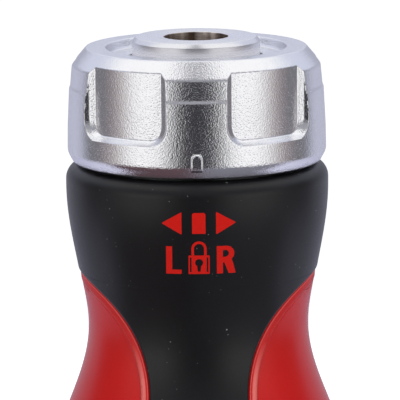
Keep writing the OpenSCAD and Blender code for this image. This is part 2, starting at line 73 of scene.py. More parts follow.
# Places that the frame gives
RING_LOW, RING_HIGH = span("selector_ring")
SPINDLE_LOW, SPINDLE_HIGH = span("drive_spindle")
GRIP_LOW, GRIP_HIGH = span("soft_grip")
CAP_HIGH = span("end_cap")[1]
BALL_LOW, BALL_HIGH = span("detent_ball")
MAGNET_LOW, MAGNET_HIGH = span("bit_magnet")
WIRE_LOW, WIRE_HIGH = span("bit_retaining_ring")
CLIP_LOW, CLIP_HIGH = span("retaining_clip")
HOUSING_LOW = span("ratchet_housing")[0]
RING_Z, RING_TOP, RING_R = RING_LOW[2], RING_HIGH[2], RING_HIGH[0]
BOSS_TOP, BOSS_R, TAIL_Z = SPINDLE_HIGH[2], SPINDLE_HIGH[0], SPINDLE_LOW[2]
COLLAR_Z, CAP_H, PALM_R = GRIP_HIGH[2], GRIP_LOW[2], GRIP_HIGH[1]
CAP_R, CAP_PLUG_TOP = CAP_HIGH[0], CAP_HIGH[2]

# Handle outline
CAP_INSET = 0.1
BASE_R = CAP_R + CAP_INSET
COLLAR_R = 16.0
COLLAR_ROUND = 1.9
COLLAR_DROP = 2.6
WAIST_R = 13.9
WAIST_Z = RING_Z - 20.3
PALM_Z = WAIST_Z - 19.5
CAP_ROUND = 5.0
CAP_GROOVE = 0.3
CAP_FLOOR = 3.0
PLUG_WALL = 2.0
PLUG_GAP = 0.03

# Side windows with the red panels
STRIP_HALF = 6.0
WINDOW_ROUND = 14.2
WINDOW_X = STRIP_HALF + WINDOW_ROUND
WINDOW_TOP = RING_Z - 26.5
WINDOW_FOOT = 27.0
GRIP_WALL = 1.8
GRIP_EDGE = 0.35
RIM_WIDTH = 1.0
RIM_EDGE = 0.2
RIM_SINK = 0.1
RIM_FALL = 0.14
PANEL_SINK = 0.4
PANEL_EDGE = 0.16
TIP_SINK = 0.12
TIP_FADE = 7.0
CREASE = 0.14
CREASE_HALF = 0.12
SEAM_SINK = 0.5
# Corner roundings of the rim's and the panel's slopes, as shares of their widths
RIM_SOFT = 0.1, 0.6
PANEL_SOFT = 0.35
# Bands of a panel's rim painted paler, a painted highlight line at the lip and a painted sheen on the pebbled
# band, by depth in the window: where each starts and ends, and how soft its ends are
LIP_HIGHLIGHT = 0.1, 0.17, 0.05
PEBBLE_SHEEN = 0.42, 0.9, 0.1
# The painted sheen of the pebbled band fades out between these heights
PEBBLE_SHEEN_Z = 75.0, 79.5

# Inside of the core
CORE_BORE_R = 9.53
CORE_HOLLOW_R = 10.2
CORE_HOLLOW_TOP = WAIST_Z - 18.0

# Selector ring
BOSS_GAP = 0.2
BOSS_GAP_TOP = 0.35
DISH_DEPTH = 1.1
DISH_R = 11.0
DISH_FLOOR_R = 10.5
TOP_R = 13.4
SHOULDER_R = 15.1
SHOULDER_H = 2.0
STEP_R = 15.475
STEP_DROP = 4.75
STEP_H = 0.3
STEP_OUT = 0.14
BELLY_R = 15.68
BELLY_H = 5.2
FOOT_H = 1.2
FOOT_R = 15.1
RING_BORE_R = 12.5
SHELF_TOP = BOSS_TOP - 3.2
SHELF_UNDER = SHELF_TOP - 1.1
THROAT_R = 6.3
POCKETS = 5
POCKET_HALF = 22.85
POCKET_FLOOR_R = 14.545
POCKET_MEAN_R = 15.475
POCKET_FOOT = RING_Z + 3.9
POCKET_CORNER = 2.4
# A pocket's side runs outward from the floor at a gentle slope, and past its knee at a steep one
POCKET_SIDE = 0.89
POCKET_KNEE = 0.69
POCKET_SLOPES = 41.0, 62.0
POCKET_LEDGE = 0.45
FLOOR_ROUND, KNEE_ROUND, POCKET_EDGE = 0.06, 0.08, 0.05
RIB_HALF = 0.675
RIB_LOW = RING_Z + 1.0
RIB_TOP = RING_Z + 3.1
RIB_PROUD = 0.2
RIB_BEVEL = 0.14
RIB_SOFT = 0.2

# Detent track in the ring's bore
BALL_R = (BALL_HIGH[2] - BALL_LOW[2]) / 2
BALL_AT = (BALL_HIGH[1] + BALL_LOW[1]) / 2
DETENT_Z = (BALL_HIGH[2] + BALL_LOW[2]) / 2
TRACK_GAP = 0.06
TRACK_R = BALL_R + TRACK_GAP
TRACK_HALF = 20.0
DETENT_STEP = 0.14
THROW = 12.0

# Drive spindle
BOSS_H = 3.0
BOSS_CHAMFER = 0.5
MOUTH_R = 3.98
MOUTH_EDGE = 0.08
MOUTH_DEPTH = 1.3
HEX_HALF = 3.2
SOCKET_Z = MAGNET_HIGH[2]
JOURNAL_R = 6.0
TAIL_R = 5.0
TAIL_CHAMFER = 0.4
CLIP_SINK = 0.8
WIRE_GAP = 0.05
MAGNET_GAP = 0.03
GEAR_TEETH = 24
GEAR_TIP_R = 5.95
GEAR_ROOT_R = 5.25
TOOTH_FLAT = 0.35
GEAR_Z = SOCKET_Z + 3.0
GEAR_TOP = SOCKET_Z + 7.65

# Springs
SPRING_WIRE_R = 0.15
SPRING_TURNS = 4
# Share of a coil's length past its two ends that place_spring adds to a reach; the coil does not bend
SPRING_PAST = 0.2

# Fineness of the meshes: pitches along a section in millimetres, steps about an axis in degrees
RING_PITCH = 0.16
RING_STEP, EDGE_STEP, RIB_STEP = 1.0, 0.25, 0.1
SPINDLE_STEP, CORNER_STEP = 1.5, 0.5
CAP_PITCH, CAP_STEP = 1.5, 2.0
COIL_STEP, COIL_WIRE_STEP = 15, 36
BALL_STEP = 6
# Reach of the finer steps: inside and outside a pocket's side, and to either side of the rib and a hex corner
EDGE_INSIDE, EDGE_OUTSIDE, RIB_REACH, CORNER_REACH = 6, 1.5, 4, 2
# No rounding takes a larger share of a line's stretch than this
ROUND_SHARE = 0.45
# A radius this near to the bore counts as the bore, and a height this near to a window's tip as the tip
SAME_R, SAME_Z = 0.02, 1e-3
# Points this near to each other are joined, and edges this short are taken out, in metres
WELD, SPECK = 2e-7, 1e-7


def ease(a, b, t):
    """Blend from a to b, flat at both ends."""
    return a + (b - a) * (1 - np.cos(math.pi * np.clip(t, 0, 1))) / 2


def outline(z):
    """Radius of the grip's outer surface at a height."""
    z = np.asarray(z, float)
    shoulder = COLLAR_Z - COLLAR_DROP
    low = ease(BASE_R, PALM_R, (z - CAP_H) / (PALM_Z - CAP_H))
    middle = ease(PALM_R, WAIST_R, (z - PALM_Z) / (WAIST_Z - PALM_Z))
    high = ease(WAIST_R, COLLAR_R, (z - WAIST_Z) / (shoulder - WAIST_Z))
    r = np.where(z < PALM_Z, low, np.where(z < WAIST_Z, middle, high))
    over = np.clip(z - (COLLAR_Z - COLLAR_ROUND), 0, COLLAR_ROUND)
    return r - COLLAR_ROUND + np.sqrt(np.maximum(COLLAR_ROUND**2 - over**2, 0))


def past_window(z):
    """How far a height lies beyond the straight stretch of the side windows."""
    return np.maximum(np.maximum(z - WINDOW_TOP, WINDOW_FOOT - z), 0)


def window_depth(x, z):
    """How far a point of the front view lies inside the nearer side window; negative outside."""
    return WINDOW_ROUND - np.hypot(WINDOW_X - np.abs(x), past_window(z))


def depth_angle(depth, z):
    """Angle from the front, in radians, where the grip's surface lies at a depth in a window."""
    reach = WINDOW_ROUND - depth
    past = past_window(z)
    x = WINDOW_X - np.sqrt(np.maximum(reach**2 - past**2, 0))
    return np.where(past >= reach, math.pi / 2, np.arcsin(np.clip(x / outline(z), -1, 1)))


def bent(x, soft):
    """0 below 0 and x above, with the corner between them rounded."""
    return np.where(x < -soft, 0, np.where(x > soft, x, (x + soft) ** 2 / (4 * soft)))


def soft_ramp(x, first, last=None):
    """0 below 0 and 1 above 1, straight between, with its first and last corner rounded."""
    return bent(x, first) - bent(x - 1, last or first)


def rounded(corners, steps=5, closed=True):
    """Line through (r, z, rounding) corners, each rounded by a small curve."""
    points = [np.array(c[:2], float) for c in corners]
    line = []
    for i, corner in enumerate(corners):
        here = points[i]
        end = not closed and i in (0, len(points) - 1)
        if corner[2] <= 0 or end:
            line.append(here)
            continue
        before, after = points[i - 1] - here, points[(i + 1) % len(points)] - here
        size = min(corner[2], ROUND_SHARE * np.linalg.norm(before), ROUND_SHARE * np.linalg.norm(after))
        start = here + before / np.linalg.norm(before) * size
        stop = here + after / np.linalg.norm(after) * size
        for t in np.linspace(0, 1, steps):
            line.append((1 - t) ** 2 * start + 2 * t * (1 - t) * here + t**2 * stop)
    return np.array(line)


def divided(line, pitch, closed=True):
    """The same line with its long stretches cut into pieces no longer than the pitch."""
    made = []
    for i, point in enumerate(line if closed else line[:-1]):
        after = line[(i + 1) % len(line)]
        pieces = max(1, math.ceil(np.linalg.norm(after - point) / pitch))
        made += [point + (after - point) * k / pieces for k in range(pieces)]
    if not closed:
        made.append(line[-1])
    return np.array(made)


def mesh_object(name, vertices, faces, sharp=38.0):
    """Smooth-shaded mesh object from vertices in millimetres."""
    mesh = bpy.data.meshes.new(name)
    mesh.from_pydata((np.asarray(vertices, float) * MM).tolist(), [], faces)
    work = bmesh.new()
    work.from_mesh(mesh)
    bmesh.ops.remove_doubles(work, verts=work.verts, dist=WELD)
    bmesh.ops.dissolve_degenerate(work, edges=work.edges, dist=SPECK)
    bmesh.ops.recalc_face_normals(work, faces=work.faces)
    work.to_mesh(mesh)
    work.free()
    mesh.polygons.foreach_set("use_smooth", [True] * len(mesh.polygons))
    mesh.set_sharp_from_angle(angle=math.radians(sharp))
    piece = bpy.data.objects.new(name, mesh)
    bpy.context.scene.collection.objects.link(piece)
    return piece


def grid_faces(rows, columns, close_rows=False, close_columns=True, first=0):
    """Quads of a grid of points that are kept row by row."""
    faces = []
    for i in range(rows if close_rows else rows - 1):
        a, b = first + i * columns, first + (i + 1) % rows * columns
        for j in range(columns if close_columns else columns - 1):
            k = (j + 1) % columns
            faces.append((a + j, a + k, b + k, b + j))
    return faces


def around(radius, angle, z):
    """Points at a radius, an angle in radians and a height, as rows of x, y and z."""
    radius, angle, z = np.broadcast_arrays(radius, angle, z)
    return np.stack([radius * np.cos(angle), radius * np.sin(angle), z], axis=-1)


def turned_object(name, radius, z, angles, sharp=38.0, loop=False):
    """Turned form of rows and columns, closed round the axis and, as a loop, along its section too."""
    points = around(radius, np.radians(angles)[None, :], z)
    faces = grid_faces(points.shape[0], points.shape[1], close_rows=loop)
    return mesh_object(name, points.reshape(-1, 3), faces, sharp)


def marked_angles(step, places):
    """Angles round the circle at a step, with finer ones at (centre, from, to, step) places."""
    angles = list(np.arange(0, 360, step))
    for centre, low, high, fine in places:
        for offset in np.arange(low, high + fine / 2, fine):
            angles += [centre + offset, centre - offset]
    return np.unique(np.round(np.mod(angles, 360), 4) % 360)


def turn_from(angles, centre):
    """Angles counted from a centre, from -180 to 180."""
    return (angles - centre + 180) % 360 - 180


def pocket_centres():
    """Directions of the finger pockets; the ring's front lies between two of them."""
    return [FRONT + 360 / POCKETS * (i + 0.5) for i in range(POCKETS)]


def pocket_wall(r, z, angles):
    """Wall radius with the finger pockets sunk in it: U-shaped, open at the top, with hollow sides."""
    away = np.min([np.abs(turn_from(angles, c)) for c in pocket_centres()], axis=0)
    u = (np.radians(away)[None, :] - math.radians(POCKET_HALF)) * POCKET_MEAN_R + POCKET_CORNER
    v = POCKET_FOOT + POCKET_CORNER - z
    corner = np.hypot(np.maximum(u, 0), np.maximum(v, 0))
    inside = POCKET_CORNER - corner - np.minimum(np.maximum(u, v), 0)
    downward = np.where(corner > 0, np.maximum(v, 0) / np.maximum(corner, 1e-6), v > u)
    width = POCKET_SIDE + (POCKET_LEDGE - POCKET_SIDE) * downward**2
    outward = POCKET_SIDE * (1 - inside / width)
    gentle, steep = np.tan(np.radians(POCKET_SLOPES))
    rise = gentle * bent(outward, FLOOR_ROUND) + (steep - gentle) * bent(outward - POCKET_KNEE, KNEE_ROUND)
    return r - bent(r - POCKET_FLOOR_R - rise, POCKET_EDGE)


def rib_height(z, angles):
    """Height of the raised index rib over the ring's foot at the front."""
    across = np.radians(turn_from(angles, FRONT))[None, :] * RING_R
    over = np.maximum(z - (RIB_TOP - RIB_HALF), 0)
    inside = np.minimum(RIB_HALF - np.hypot(across, over), z - RIB_LOW)
    return RIB_PROUD * soft_ramp(inside / RIB_BEVEL, RIB_SOFT)


def track_wall(z, angles):
    """Reach of the detent track in the bore at the back, with its three deeper seats."""
    best = np.zeros(np.broadcast_shapes(z.shape, (1, len(angles))))
    seats = [(0.0, TRACK_HALF, 0.0)] + [(i * THROW, 0.0, DETENT_STEP) for i in (-1, 0, 1)]
    for turn, half, step in seats:
        off = np.radians(np.maximum(np.abs(turn_from(angles, BACK + turn)) - half, 0))[None, :]
        reach = BALL_AT + step
        room = TRACK_R**2 - (z - DETENT_Z) ** 2 - (reach * np.sin(off)) ** 2
        wall = reach * np.cos(off) + np.sqrt(np.maximum(room, 0))
        best = np.maximum(best, np.where((room > 0) & (off < 1), wall, 0))
    return best


def build_ring():
    """Selector ring with its dish, shoulder, step, finger pockets, index rib and detent track."""
    line = rounded(
        [
            (BOSS_R + BOSS_GAP, SHELF_TOP, 0),
            (BOSS_R + BOSS_GAP_TOP, RING_TOP - DISH_DEPTH, 0.08),
            (DISH_FLOOR_R, RING_TOP - DISH_DEPTH, 0.3),
            (DISH_R, RING_TOP, 0.12),
            (TOP_R, RING_TOP, 0.12),
            (SHOULDER_R, RING_TOP - SHOULDER_H, 0.25),
            (STEP_R - STEP_OUT, RING_TOP - STEP_DROP + STEP_H, 0.1),
            (STEP_R, RING_TOP - STEP_DROP, 0.1),
            (BELLY_R, RING_Z + BELLY_H, 1.5),
            (RING_R, RING_Z + FOOT_H, 0.4),
            (FOOT_R, RING_Z, 0.2),
            (RING_BORE_R, RING_Z, 0.1),
            (RING_BORE_R, SHELF_UNDER, 0),
            (THROAT_R, SHELF_UNDER, 0),
            (THROAT_R, SHELF_TOP, 0),
        ]
    )
    line = divided(line, RING_PITCH)
    first, last = POCKET_HALF - EDGE_INSIDE, POCKET_HALF + EDGE_OUTSIDE
    sides = [(centre, first, last, EDGE_STEP) for centre in pocket_centres()]
    angles = marked_angles(RING_STEP, sides + [(FRONT, 0, RIB_REACH, RIB_STEP)])
    r, z = line[:, :1] + 0 * angles, line[:, 1:] + 0 * angles
    bore = np.abs(r - RING_BORE_R) < SAME_R
    r = np.where(bore, np.maximum(r, track_wall(z, angles)), r)
    r = pocket_wall(r, z, angles)
    outside = (r > FOOT_R - 1) & (z < RIB_TOP + 1)
    r = np.where(outside, np.maximum(r, r + rib_height(z, angles)), r)
    return turned_object("ring_shell", r, z, angles, loop=True)


def build_spindle():
    """Drive spindle: boss, round-mouthed hex socket, gear, journals and grooves."""
    pitch = 360 / GEAR_TEETH
    gap = math.degrees(TOOTH_FLAT / 2 / GEAR_ROOT_R)
    tip = math.degrees(TOOTH_FLAT / 2 / GEAR_TIP_R)
    teeth = [(pitch * i, a, a, 1) for i in range(GEAR_TEETH) for a in (gap, pitch / 2 - tip)]
    corners = [(30 + 60 * i, 0, CORNER_REACH, CORNER_STEP) for i in range(6)]
    angles = marked_angles(SPINDLE_STEP, teeth + corners)
    hexagon = HEX_HALF / np.cos(np.radians((angles + 30) % 60 - 30))
    gear = np.interp(
        np.abs(turn_from(angles * GEAR_TEETH, 0)) / GEAR_TEETH,
        [0, gap, pitch / 2 - tip, pitch / 2],
        [GEAR_ROOT_R, GEAR_ROOT_R, GEAR_TIP_R, GEAR_TIP_R],
    )
    wire_r, wire_low, wire_high = WIRE_HIGH[1] + WIRE_GAP, WIRE_LOW[2] - WIRE_GAP, WIRE_HIGH[2] + WIRE_GAP
    clip_r = TAIL_R - CLIP_SINK
    magnet_r = MAGNET_HIGH[0] + MAGNET_GAP
    boss = rounded(
        [
            (JOURNAL_R, BOSS_TOP - BOSS_H, 0),
            (BOSS_R, BOSS_TOP - BOSS_H, 0.05),
            (BOSS_R, BOSS_TOP - BOSS_CHAMFER, 0.07),
            (BOSS_R - BOSS_CHAMFER, BOSS_TOP, 0.07),
            (MOUTH_R, BOSS_TOP, 0.04),
            (MOUTH_R - MOUTH_EDGE, BOSS_TOP - MOUTH_EDGE, 0.04),
            (MOUTH_R - MOUTH_EDGE, BOSS_TOP - MOUTH_DEPTH, 0),
        ],
        4,
        closed=False,
    )
    rows = [
        (0, TAIL_Z),
        (TAIL_R - TAIL_CHAMFER, TAIL_Z),
        (TAIL_R, TAIL_Z + TAIL_CHAMFER),
        (TAIL_R, CLIP_LOW[2]),
        (clip_r, CLIP_LOW[2]),
        (clip_r, CLIP_HIGH[2]),
        (TAIL_R, CLIP_HIGH[2]),
        (TAIL_R, GEAR_Z),
        (gear, GEAR_Z),
        (gear, GEAR_TOP),
        (JOURNAL_R, GEAR_TOP),
        *map(tuple, boss),
        (hexagon, BOSS_TOP - MOUTH_DEPTH - (MOUTH_R - MOUTH_EDGE - hexagon)),
        (hexagon, wire_high),
        (wire_r, wire_high),
        (wire_r, wire_low),
        (hexagon, wire_low),
        (hexagon, SOCKET_Z),
        (magnet_r, SOCKET_Z),
        (magnet_r, MAGNET_LOW[2]),
        (0, MAGNET_LOW[2]),
    ]
    r = np.array([np.broadcast_to(row[0], angles.shape) for row in rows], float)
    z = np.array([np.broadcast_to(row[1], angles.shape) for row in rows], float)
    return turned_object("spindle_body", r, z, angles, sharp=30)


def window_tips():
    """Heights where a window's edge reaches the side of the handle, at its top and at its foot."""
    tips = []
    for near, far in ((WINDOW_TOP, COLLAR_Z - 4), (WINDOW_FOOT, CAP_H + 1)):
        for _ in range(50):
            middle = (near + far) / 2
            if window_depth(outline(middle), middle) > 0:
                near = middle
            else:
                far = middle
        tips.append(near)
    return tips


TIP_TOP, TIP_FOOT = window_tips()
NEAR_TIP = np.array([0, 0.02, 0.06, 0.1, 0.16, 0.24, 0.34, 0.46, 0.6, 0.75, 0.9, 1.0, 1.1, 1.2, 1.4])
HANDLE_Z = np.unique(
    np.round(
        np.concatenate(
            [
                np.arange(CAP_H, COLLAR_Z - COLLAR_ROUND, 0.5),
                COLLAR_Z - COLLAR_ROUND * (1 - np.sin(np.radians(np.arange(0, 91, 5)))),
                TIP_TOP - NEAR_TIP,
                TIP_TOP + NEAR_TIP[1:8],
                TIP_FOOT + NEAR_TIP,
                TIP_FOOT - NEAR_TIP[1:8],
            ]
        ),
        4,
    )
)
EDGE_STEPS = np.array([0, 0.015, 0.05, 0.1, 0.17, 0.26, 0.35, 0.5])
RIM_STEPS = np.concatenate([np.arange(0, 0.5, 0.03), [0.6, 0.72], np.arange(0.82, 1.3, 0.03), [1.4]])


def in_window(z):
    """True at the heights that a window reaches."""
    return (z < TIP_TOP + SAME_Z) & (z > TIP_FOOT - SAME_Z)


def build_grip():
    """Soft grip: collar, front and back strips and lower band as one shell with rounded window edges."""
    z = HANDLE_Z
    edge = np.stack([depth_angle(-d, z) for d in EDGE_STEPS], axis=1)
    edge[~in_window(z)] = math.pi / 2
    tip = np.isclose(z, TIP_TOP, atol=SAME_Z) | np.isclose(z, TIP_FOOT, atol=SAME_Z)
    edge[tip, 0] = math.pi / 2
    middle = edge[:, -1:] * np.linspace(0, 1, 30)[None, :-1]
    half = np.concatenate([middle, edge[:, ::-1]], axis=1)
    angle = np.concatenate([-half[:, :0:-1], half], axis=1)
    skin = outline(z)[:, None]
    away = -window_depth(skin * np.sin(angle), z[:, None])
    fall = np.clip(1 - away / GRIP_EDGE, 0, 1)
    outer = skin - GRIP_EDGE * (1 - np.sqrt(1 - fall**2))
    inner = skin - GRIP_WALL
    rows, columns = angle.shape
    count = rows * columns
    vertices, faces = [], []
    for side in range(2):
        turn = math.radians(FRONT) + math.pi * side + angle
        first = 2 * side * count
        vertices += [around(r, turn, z[:, None]).reshape(-1, 3) for r in (outer, inner)]
        faces += grid_faces(rows, columns, close_columns=False, first=first)
        faces += grid_faces(rows, columns, close_columns=False, first=first + count)
        cut = in_window(z)
        open_rows = [i for i in range(rows - 1) if cut[i] and cut[i + 1]]
        walls = [(i * columns + j, (i + 1) * columns + j) for i in open_rows for j in (0, columns - 1)]
        ends = [(i * columns + j, i * columns + j + 1) for i in (0, rows - 1) for j in range(columns - 1)]
        faces += [(first + a, first + b, first + count + b, first + count + a) for a, b in walls + ends]
    return mesh_object("grip_skin", np.concatenate(vertices), faces, sharp=50)


def panel_sink(depth, z):
    """Depth of the red core below the grip's outline: seam, rim, crease and sunk panel."""
    rim = soft_ramp(depth / RIM_EDGE, *RIM_SOFT)
    fall = RIM_FALL * np.clip(1 - depth / RIM_WIDTH, 0, 1) ** 2
    panel = soft_ramp((depth - RIM_WIDTH) / PANEL_EDGE + 0.5, PANEL_SOFT)
    inward = np.minimum(TIP_TOP - z, z - TIP_FOOT) / TIP_FADE
    sunk = ease(TIP_SINK, PANEL_SINK, inward)
    crease = CREASE * np.exp(-(((depth - RIM_WIDTH) / CREASE_HALF) ** 2)) * ease(0, 1, inward)
    return SEAM_SINK + (RIM_SINK + fall - SEAM_SINK) * rim + (sunk - RIM_SINK) * panel + crease


def build_core():
    """Red core: side panels with their raised rim, the plain sides under the grip and the bores."""
    z = HANDLE_Z
    rim = np.stack([depth_angle(d, z) for d in RIM_STEPS], axis=1)
    rim[~in_window(z)] = math.pi / 2
    side = rim[:, -1:] + (math.pi / 2 - rim[:, -1:]) * np.linspace(0, 1, 36)[None, 1:]
    under = rim[:, :1] * np.linspace(0, 1, 12)[None, :]
    quarter = np.concatenate([under, rim, side], axis=1)
    skin = outline(z)[:, None]
    depth = window_depth(skin * np.sin(quarter), z[:, None])
    sink = panel_sink(depth, z[:, None])
    sink[:, : under.shape[1]] = GRIP_WALL
    sink[~in_window(z)] = GRIP_WALL
    radius = skin - sink
    front = math.radians(FRONT)
    half_angle = np.concatenate([quarter, math.pi - quarter[:, -2::-1]], axis=1)
    half_radius = np.concatenate([radius, radius[:, -2::-1]], axis=1)
    angle = np.concatenate([half_angle, 2 * math.pi - half_angle[:, -2:0:-1]], axis=1) + front
    radius = np.concatenate([half_radius, half_radius[:, -2:0:-1]], axis=1)
    below = [(0, CORE_HOLLOW_TOP), (CORE_HOLLOW_R, CORE_HOLLOW_TOP), (CORE_HOLLOW_R, CAP_H)]
    above = [(CORE_BORE_R, COLLAR_Z), (CORE_BORE_R, HOUSING_LOW[2]), (0, HOUSING_LOW[2])]

    def plain(points, row):
        return [around(r, angle[row], h) for r, h in points]

    grid = np.stack(plain(below, 0) + list(around(radius, angle, z[:, None])) + plain(above, -1))
    return mesh_object("core_body", grid.reshape(-1, 3), grid_faces(*grid.shape[:2]), sharp=60)


def build_cap():
    """End cap with its rounded foot, a fine groove under the grip and its plug."""
    arc = [
        (CAP_R - CAP_ROUND * (1 - math.sin(t)), CAP_ROUND * (1 - math.cos(t)))
        for t in np.linspace(0, math.pi / 2, 19)
    ]
    plug = CORE_HOLLOW_R - PLUG_GAP
    line = [
        (0, 0),
        *arc,
        (CAP_R, CAP_H - CAP_GROOVE),
        (CAP_R - CAP_GROOVE, CAP_H),
        (plug, CAP_H),
        (plug, CAP_PLUG_TOP),
        (plug - PLUG_WALL, CAP_PLUG_TOP),
        (plug - PLUG_WALL, CAP_FLOOR),
        (0, CAP_FLOOR),
    ]
    line = divided(np.array(line, float), CAP_PITCH, closed=False)
    return turned_object("cap_body", line[:, :1], line[:, 1:], np.arange(0, 360, CAP_STEP), sharp=40)


def build_ball():
    """Detent ball."""
    tilt = np.radians(np.arange(-90, 91, BALL_STEP))[:, None]
    turn = np.radians(np.arange(0, 360, BALL_STEP))[None, :]
    points = around(BALL_R * np.cos(tilt), turn, BALL_R * np.sin(tilt)) + (0, BALL_AT, DETENT_Z)
    return mesh_object("ball", points.reshape(-1, 3), grid_faces(*points.shape[:2]))


def build_spring(node, axis):
    """Coil in the place of a CAD spring, wound along one axis of the frame."""
    low, high = span(node)
    middle, half = (low + high) / 2, (high - low) / 2
    turn = np.radians(np.arange(0, 360 * SPRING_TURNS + 1, COIL_STEP))[:, None]
    wire = np.radians(np.arange(0, 360, COIL_WIRE_STEP))[None, :]
    reach = half[2] - SPRING_WIRE_R + SPRING_WIRE_R * np.cos(wire)
    along = (half[axis] - SPRING_WIRE_R) * (2 * turn / turn[-1] - 1) + SPRING_WIRE_R * np.sin(wire)
    points = np.empty((*along.shape, 3))
    points[..., axis] = along
    points[..., 1 - axis] = reach * np.cos(turn)
    points[..., 2] = reach * np.sin(turn)
    rows, columns = along.shape
    ends = [tuple(range(columns)), tuple(range((rows - 1) * columns, rows * columns))]
    return mesh_object(node + "_coil", (points + middle).reshape(-1, 3), grid_faces(rows, columns) + ends)


# Printed marks: outlines in millimetres across the front and up, each with its holes
MARK_MID = 0.15
ARROW_Z = COLLAR_Z - 4.77
LETTER_Z = COLLAR_Z - 11.02
LETTER_H = 3.42
MARK_PROUD = 0.02
MARK_SINK = 0.06
MARK_PITCH = 0.5
LETTER_L_X, LETTER_R_X = -3.89, 2.09


def arc_points(x, z, r, start, stop, steps=9):
    """Points of an arc about a centre, in degrees."""
    turns = np.radians(np.linspace(start, stop, steps))
    return [(x + r * math.cos(t), z + r * math.sin(t)) for t in turns]


def shifted(points, x, z):
    """The same points moved across and up."""
    return [(px + x, pz + z) for px, pz in points]


def box_points(x0, z0, x1, z1):
    """Corners of an upright box."""
    return [(x0, z0), (x1, z0), (x1, z1), (x0, z1)]


def arrow_outline(side):
    """Arrowhead that points to a side."""
    tip, base, half, r = side * 4.4, side * 2.03, 1.38, 0.18
    return [rounded([(tip, 0, r), (base, half, r), (base, -half, r)])]


def bar_outline():
    """Upright bar with rounded top corners."""
    half, tall, r = 0.79, 1.26, 0.25
    top = arc_points(half - r, tall - r, r, 0, 90, 5) + arc_points(r - half, tall - r, r, 90, 180, 5)
    return [[(-half, -tall), (half, -tall)] + top]


def letter_l():
    """Letter L at the origin."""
    width, stem, foot = 1.82, 0.72, 0.53
    return [[(0, 0), (width, 0), (width, foot), (stem, foot), (stem, LETTER_H), (0, LETTER_H)]]


def letter_r():
    """Letter R at the origin."""
    stem, bar, bowl = 0.72, 0.5, 0.93
    bowl_x, hole_x, crotch = 1.14, 1.0, LETTER_H - 2.05
    leg_x, leg_width, leg_top_x, knee_x, knee_drop = 1.39, 0.82, 0.88, 1.93, 0.15
    outer = arc_points(bowl_x, LETTER_H - bowl, bowl, 90, -50, 13)
    leg = [(knee_x, crotch - knee_drop), (leg_x + leg_width, 0), (leg_x, 0), (leg_top_x, crotch)]
    leg += [(stem, crotch), (stem, 0)]
    hole = arc_points(hole_x, LETTER_H - bowl, bowl - bar, 90, -90, 9)
    hole += [(stem, LETTER_H - 2 * bowl + bar), (stem, LETTER_H - bar)]
    return [[(0, 0), (0, LETTER_H)] + outer + leg, hole]


def lock_body():
    """Padlock body with its keyhole and two fine lines."""
    half, tall, r = 1.25, 2.31, 0.1
    key_z, key_r, key_half, key_foot = 1.4, 0.47, 0.17, 0.29
    line_x, line_half, line_low, line_high = 0.99, 0.09, 0.25, 2.05
    top = arc_points(half - r, tall - r, r, 0, 90, 4) + arc_points(r - half, tall - r, r, 90, 180, 4)
    outer = [(-half, 0), (half, 0)] + top
    keyhole = arc_points(0, key_z, key_r, -60, 240, 15) + [(-key_half, key_foot), (key_half, key_foot)]
    lines = [box_points(s * line_x - line_half, line_low, s * line_x + line_half, line_high) for s in (-1, 1)]
    return [outer, keyhole] + lines


def lock_shackle():
    """Padlock shackle that stands on the body."""
    half, wall, foot, top = 0.9, 0.31, 2.32, 4.06
    outer = arc_points(0, top - half, half, 0, 180, 13)
    inner = arc_points(0, top - half, half - wall, 180, 0, 13)
    return [[(half, foot)] + outer + [(-half, foot), (wall - half, foot)] + inner + [(half - wall, foot)]]


def printed_mesh(name, loops):
    """Thin closed print that follows the collar, from outlines across the front and up."""
    flat = bmesh.new()
    for loop in loops:
        corners = [flat.verts.new((x, z, 0)) for x, z in loop]
        for i, corner in enumerate(corners):
            flat.edges.new((corner, corners[(i + 1) % len(corners)]))
    bmesh.ops.triangle_fill(flat, use_beauty=True, edges=flat.edges[:])
    for axis in range(2):
        places = [v.co[axis] for v in flat.verts]
        for k in range(math.ceil(min(places) / MARK_PITCH), math.floor(max(places) / MARK_PITCH) + 1):
            point, normal = Vector((0, 0, 0)), Vector((0, 0, 0))
            point[axis], normal[axis] = k * MARK_PITCH, 1
            parts = flat.verts[:] + flat.edges[:] + flat.faces[:]
            bmesh.ops.bisect_plane(flat, geom=parts, dist=1e-4, plane_co=point, plane_no=normal)
    flat.verts.index_update()
    places = np.array([v.co[:2] for v in flat.verts])
    count = len(places)
    skin = outline(places[:, 1])
    angle = math.radians(FRONT) + np.arcsin(places[:, 0] / skin)
    vertices = np.concatenate([around(skin + d, angle, places[:, 1]) for d in (MARK_PROUD, -MARK_SINK)])
    faces = []
    for face in flat.faces:
        ring = [v.index for v in face.verts]
        faces += [ring, [count + i for i in reversed(ring)]]
    for edge in flat.edges:
        if len(edge.link_faces) == 1:
            a, b = (v.index for v in edge.verts)
            faces.append((a, b, count + b, count + a))
    flat.free()
    return mesh_object(name, vertices, faces, sharp=30)


def build_marks():
    """The printed arrows, bar, letters and padlock of the three selector positions."""
    marks = {
        "print_arrow_left": (arrow_outline(-1), 0, ARROW_Z),
        "print_bar": (bar_outline(), 0, ARROW_Z),
        "print_arrow_right": (arrow_outline(1), 0, ARROW_Z),
        "print_letter_l": (letter_l(), LETTER_L_X, LETTER_Z),
        "print_lock_body": (lock_body(), 0, LETTER_Z),
        "print_lock_shackle": (lock_shackle(), 0, LETTER_Z),
        "print_letter_r": (letter_r(), LETTER_R_X, LETTER_Z),
    }
    return [
        printed_mesh(name, [shifted(loop, MARK_MID + x, z) for loop in loops])
        for name, (loops, x, z) in marks.items()
    ]


